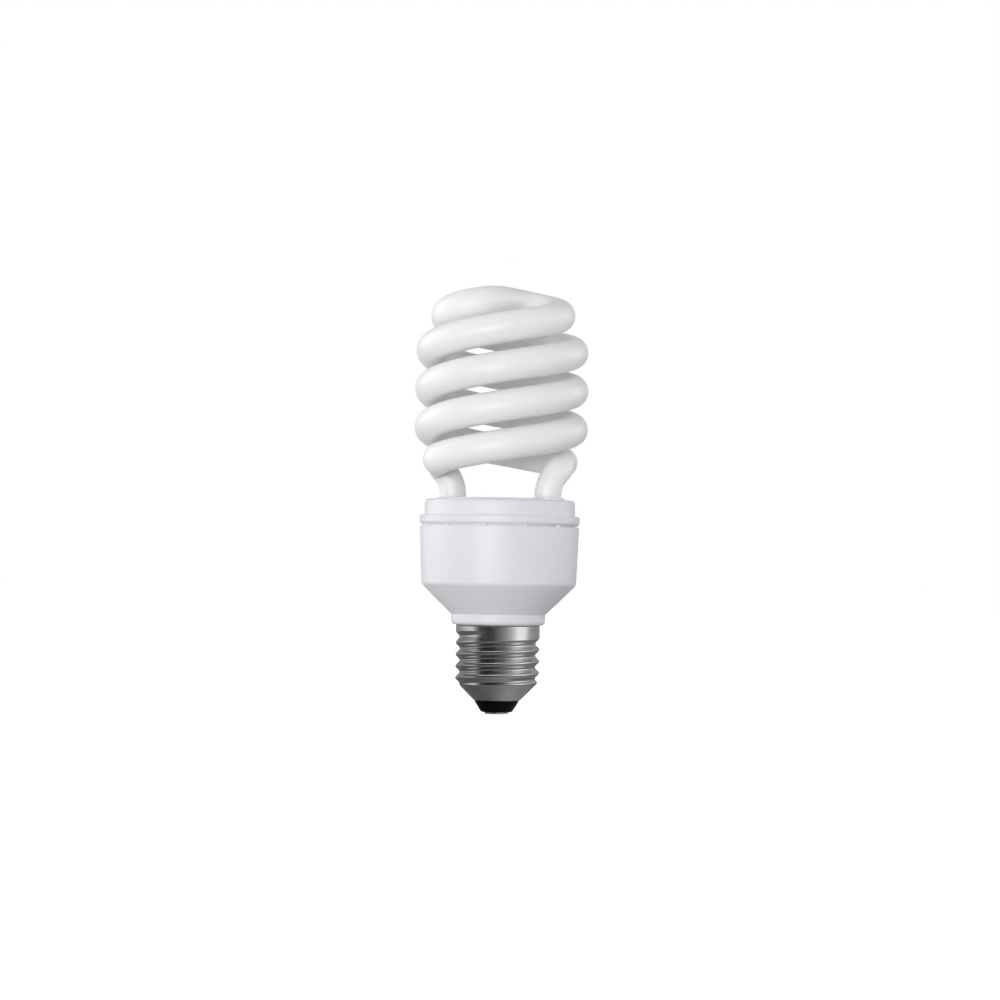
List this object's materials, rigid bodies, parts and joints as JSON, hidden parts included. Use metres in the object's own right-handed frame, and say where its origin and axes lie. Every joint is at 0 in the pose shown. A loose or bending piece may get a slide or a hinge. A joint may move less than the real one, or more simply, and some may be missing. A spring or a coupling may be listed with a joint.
{
  "type": "spiral energy saving bulb",
  "caption": "Compact fluorescent lamp: a white double-spiral glass tube on a plastic ballast housing with an E27 screw cap.",
  "frame": {"origin": "middle of the foot contact, the lowest point of the cap", "axes": "+Z along the lamp axis from the cap to the crown of the spiral, +X to the right of the picture, +Y away from the viewer"},
  "size_m": [0.054, 0.054, 0.1335],
  "materials": {
    "phosphor_glass": "glossy glass tube, coated white on the inside",
    "white_plastic": "white moulded plastic, satin gloss",
    "plated_sheet": "rolled sheet, bright nickel colour",
    "black_glass": "black fused insulator, glossy",
    "solder": "tinned contact with a drop of solder",
    "board_laminate": "pale brown paper laminate",
    "ferrite": "dark grey sintered ferrite",
    "copper_winding": "enamelled copper wire",
    "tinned_wire": "tinned wire",
    "capacitor_sleeve": "dark blue shrink sleeve",
    "film_coat": "dipped red-brown coat",
    "black_resin": "moulded black resin",
    "blue_glass": "small blue glass body",
    "resistor_coat": "tan lacquer",
    "bobbin_plastic": "natural plastic former",
    "cement": "white lamp cement"
  },
  "bodies": {
    "root": {"spiral_tube": "phosphor_glass", "tube_holder": "white_plastic", "leg_cement_1": "cement", "leg_cement_2": "cement", "ballast_housing": "white_plastic", "screw_shell": "plated_sheet", "insulator": "black_glass", "centre_contact": "solder", "smoothing_capacitor": "capacitor_sleeve", "choke_core_lower": "ferrite", "choke_core_upper": "ferrite", "choke_bobbin": "bobbin_plastic", "choke_winding": "copper_winding", "ring_core": "ferrite", "ring_windings": "copper_winding", "transistor_1": "black_resin", "transistor_2": "black_resin", "resonant_capacitor": "film_coat", "blocking_capacitor": "film_coat", "timing_capacitor": "film_coat", "filter_choke_core": "ferrite", "filter_choke_winding": "copper_winding", "rectifier_diode_1": "black_resin", "rectifier_diode_2": "black_resin", "rectifier_diode_3": "black_resin", "rectifier_diode_4": "black_resin", "trigger_diode": "blue_glass", "base_resistor_1": "resistor_coat", "base_resistor_2": "resistor_coat", "start_resistor": "resistor_coat", "fuse_resistor": "resistor_coat", "shell_lead": "tinned_wire", "circuit_board": "board_laminate", "filament_post_1": "tinned_wire", "filament_lead_1": "tinned_wire", "filament_post_2": "tinned_wire", "filament_lead_2": "tinned_wire", "filament_post_3": "tinned_wire", "filament_lead_3": "tinned_wire", "filament_post_4": "tinned_wire", "filament_lead_4": "tinned_wire"}
  },
  "joints": []
}
